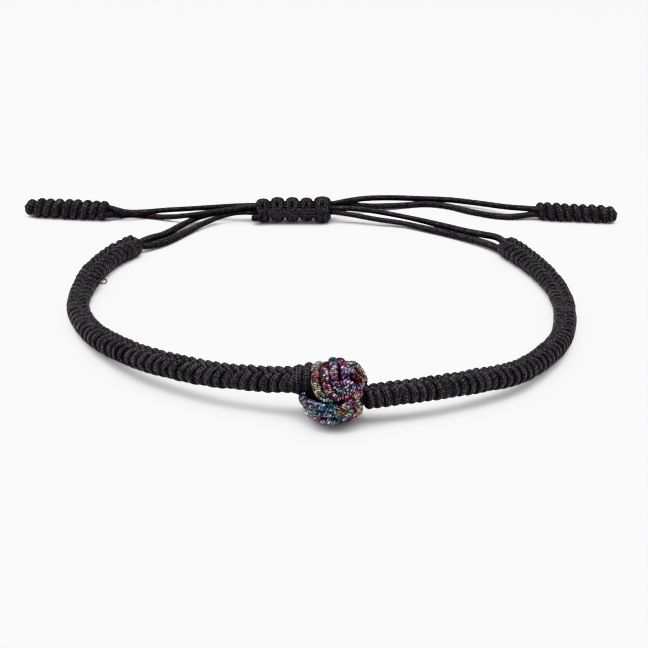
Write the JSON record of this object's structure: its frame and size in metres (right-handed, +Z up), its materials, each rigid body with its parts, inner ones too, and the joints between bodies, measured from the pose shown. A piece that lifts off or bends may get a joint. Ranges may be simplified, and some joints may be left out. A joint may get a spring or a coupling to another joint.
{
  "type": "cord bracelet",
  "caption": "Knotted cord bracelet lying flat, with a metallic ball knot at the front, ribbed round bands, a sliding knot and long stopper knots at the back.",
  "frame": {"origin": "On the surface that the bracelet lies on, in the middle of its outline.", "axes": "+X from the left stopper knot to the right one, +Y from the ball knot towards the sliding knot, +Z up."},
  "size_m": [0.1164, 0.0865, 0.0097],
  "materials": {
    "black_cord": "black braided nylon cord, dull with fine light threads",
    "metallic_cord": "cord wrapped in metallic thread that changes from pink through gold and green to blue"
  },
  "bodies": {
    "root": {"left_band": "black_cord", "right_band": "black_cord", "focal_knot": "metallic_cord", "slide_knot": "black_cord", "left_end_knot": "black_cord", "right_end_knot": "black_cord", "left_cord_upper": "black_cord", "left_cord_lower": "black_cord", "right_cord_upper": "black_cord", "right_cord_lower": "black_cord"}
  },
  "joints": []
}
